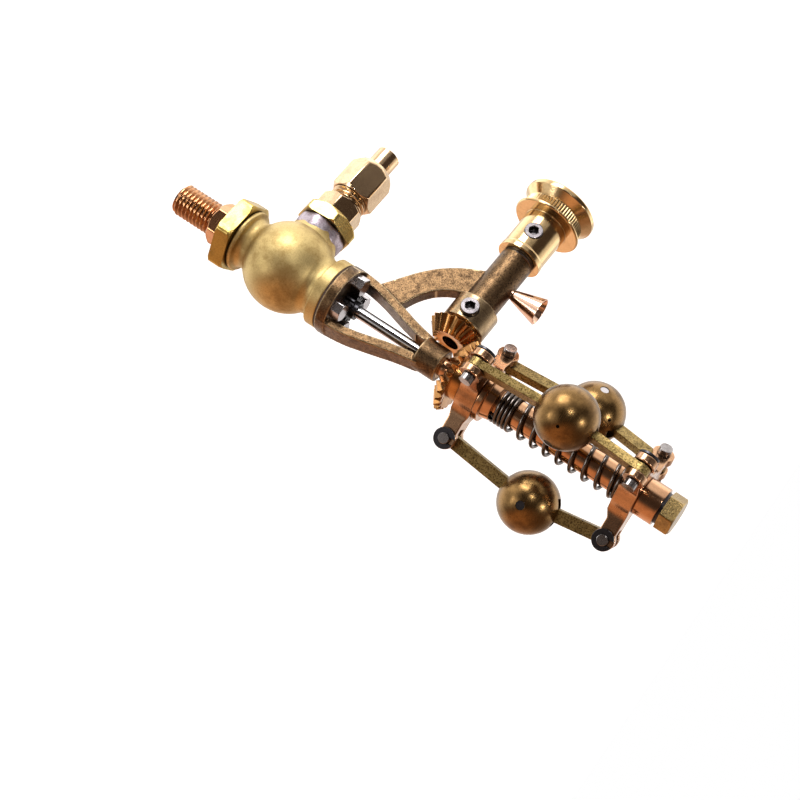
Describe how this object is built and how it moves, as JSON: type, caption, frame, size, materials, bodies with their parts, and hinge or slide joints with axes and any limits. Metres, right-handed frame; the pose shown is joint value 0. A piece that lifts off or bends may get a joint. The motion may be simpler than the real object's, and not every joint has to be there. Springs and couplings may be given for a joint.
{
  "type": "flyball governor",
  "caption": "Miniature brass flyball governor: ball-shaped steam valve, bevel-geared spindle with a spring-loaded sliding head, hinged arms with brass balls, and a belt-driven side shaft.",
  "frame": {"origin": "centre of the threaded inlet stub's end face, on the governor spindle's axis", "axes": "+Z along the governor spindle, from the steam inlet to the top nut; -X along the outlet and the drive shaft towards the pulley"},
  "size_m": [0.0496, 0.0266, 0.096],
  "materials": {
    "satin_brass": "satin brass with patches of brown patina",
    "polished_brass": "polished turned brass",
    "copper_bronze": "polished copper-coloured bronze with machining lines",
    "cast_bronze": "antiqued cast bronze, fine sand-cast grain",
    "antique_brass": "dark antiqued brass",
    "link_brass": "flat rolled brass strip",
    "bright_steel": "bright machined steel",
    "dark_steel": "blackened steel",
    "spring_steel": "oil-blacked spring wire",
    "solder": "silver solder",
    "gasket": "dark gasket sheet",
    "packing": "graphited packing yarn"
  },
  "bodies": {
    "governor_frame": {"valve_body": "satin_brass", "valve_seat": "polished_brass", "inlet_stub": "copper_bronze", "inlet_union_hex": "satin_brass", "outlet_hex": "satin_brass", "outlet_solder_ring": "solder", "outlet_fitting": "polished_brass", "outlet_union_nut": "polished_brass", "outlet_ferrule": "polished_brass", "outlet_tube": "polished_brass", "flange_gasket": "gasket", "flange_bolts": "bright_steel", "gland_packing": "packing", "gland_nut": "dark_steel", "bracket": "cast_bronze", "spindle_bush": "cast_bronze", "oil_cup": "copper_bronze"},
    "drive_train": {"drive_shaft": "bright_steel", "pinion_gear": "copper_bronze", "shaft_collar": "cast_bronze", "collar_set_screw": "dark_steel", "thrust_washer": "bright_steel", "pulley": "polished_brass", "pulley_set_screw": "dark_steel"},
    "rotor": {"wheel_gear": "copper_bronze", "spindle": "copper_bronze", "spindle_clip": "dark_steel", "lower_spider": "copper_bronze", "spring_seat": "copper_bronze", "lower_pins": "bright_steel", "lower_clips": "dark_steel", "spring": "spring_steel"},
    "sliding_head": {"upper_spider": "copper_bronze", "head_hub": "copper_bronze", "lock_washer": "dark_steel", "top_nut": "antique_brass", "upper_pins": "bright_steel", "upper_clips": "dark_steel"},
    "valve_spindle": {"valve_rod": "bright_steel", "valve_plug": "polished_brass", "rod_collar": "bright_steel"},
    "lower_arm_1": {"lower_link_1": "link_brass"},
    "ball_1": {"flyball_1": "antique_brass", "ball_pin_1": "bright_steel"},
    "upper_arm_1": {"upper_link_1": "link_brass"},
    "lower_arm_2": {"lower_link_2": "link_brass"},
    "ball_2": {"flyball_2": "antique_brass", "ball_pin_2": "bright_steel"},
    "upper_arm_2": {"upper_link_2": "link_brass"},
    "lower_arm_3": {"lower_link_3": "link_brass"},
    "ball_3": {"flyball_3": "antique_brass", "ball_pin_3": "bright_steel"},
    "upper_arm_3": {"upper_link_3": "link_brass"}
  },
  "joints": [
    {"name": "spindle_spin", "type": "hinge", "parent": "governor_frame", "child": "rotor", "pos_m": [0, 0, 0.0512], "axis": [0, 0, 1], "continuous": true},
    {"name": "shaft_spin", "type": "hinge", "parent": "governor_frame", "child": "drive_train", "pos_m": [-0.0172, 0, 0.0512], "axis": [1, 0, 0], "continuous": true},
    {"name": "head_slide", "type": "slide", "parent": "rotor", "child": "sliding_head", "axis": [0, 0, -1], "range_m": [0, 0.0014], "deforming": ["spring"]},
    {"name": "rod_slide", "type": "slide", "parent": "governor_frame", "child": "valve_spindle", "axis": [0, 0, -1], "range_m": [0, 0.0014]},
    {"name": "arm_swing_1", "type": "hinge", "parent": "rotor", "child": "lower_arm_1", "pos_m": [0.00732, 0.00507, 0.0593], "axis": [-0.5693, 0.8221, 0], "range_deg": [0, 10]},
    {"name": "ball_level_1", "type": "hinge", "parent": "lower_arm_1", "child": "ball_1", "pos_m": [0.00872, 0.00603, 0.0754], "axis": [-0.5693, 0.8221, 0], "range_deg": [-11, 1]},
    {"name": "upper_swing_1", "type": "hinge", "parent": "sliding_head", "child": "upper_arm_1", "pos_m": [0.00707, 0.0049, 0.0884], "axis": [0.5693, -0.8221, 0], "range_deg": [0, 13]},
    {"name": "arm_swing_2", "type": "hinge", "parent": "rotor", "child": "lower_arm_2", "pos_m": [0.00073, -0.00887, 0.0593], "axis": [0.9966, 0.0819, 0], "range_deg": [0, 10]},
    {"name": "ball_level_2", "type": "hinge", "parent": "lower_arm_2", "child": "ball_2", "pos_m": [0.00087, -0.01056, 0.0754], "axis": [0.9966, 0.0819, 0], "range_deg": [-11, 1]},
    {"name": "upper_swing_2", "type": "hinge", "parent": "sliding_head", "child": "upper_arm_2", "pos_m": [0.00071, -0.00857, 0.0884], "axis": [-0.9966, -0.0819, 0], "range_deg": [0, 13]},
    {"name": "arm_swing_3", "type": "hinge", "parent": "rotor", "child": "lower_arm_3", "pos_m": [-0.00805, 0.0038, 0.0593], "axis": [-0.4274, -0.9041, 0], "range_deg": [0, 10]},
    {"name": "ball_level_3", "type": "hinge", "parent": "lower_arm_3", "child": "ball_3", "pos_m": [-0.00958, 0.00453, 0.0754], "axis": [-0.4274, -0.9041, 0], "range_deg": [-11, 1]},
    {"name": "upper_swing_3", "type": "hinge", "parent": "sliding_head", "child": "upper_arm_3", "pos_m": [-0.00777, 0.00367, 0.0884], "axis": [0.4274, 0.9041, 0], "range_deg": [0, 13]}
  ],
  "couplings": [
    {"joint": "shaft_spin", "follows": "spindle_spin", "ratio": 1.3333},
    {"joint": "head_slide", "follows": "arm_swing_1", "m_per_rad": 0.007347},
    {"joint": "rod_slide", "follows": "arm_swing_1", "m_per_rad": 0.007347},
    {"joint": "ball_level_1", "follows": "arm_swing_1", "ratio": -1},
    {"joint": "upper_swing_1", "follows": "arm_swing_1", "ratio": 1.2517},
    {"joint": "arm_swing_2", "follows": "arm_swing_1", "ratio": 1},
    {"joint": "ball_level_2", "follows": "arm_swing_1", "ratio": -1},
    {"joint": "upper_swing_2", "follows": "arm_swing_1", "ratio": 1.2517},
    {"joint": "arm_swing_3", "follows": "arm_swing_1", "ratio": 1},
    {"joint": "ball_level_3", "follows": "arm_swing_1", "ratio": -1},
    {"joint": "upper_swing_3", "follows": "arm_swing_1", "ratio": 1.2517}
  ]
}
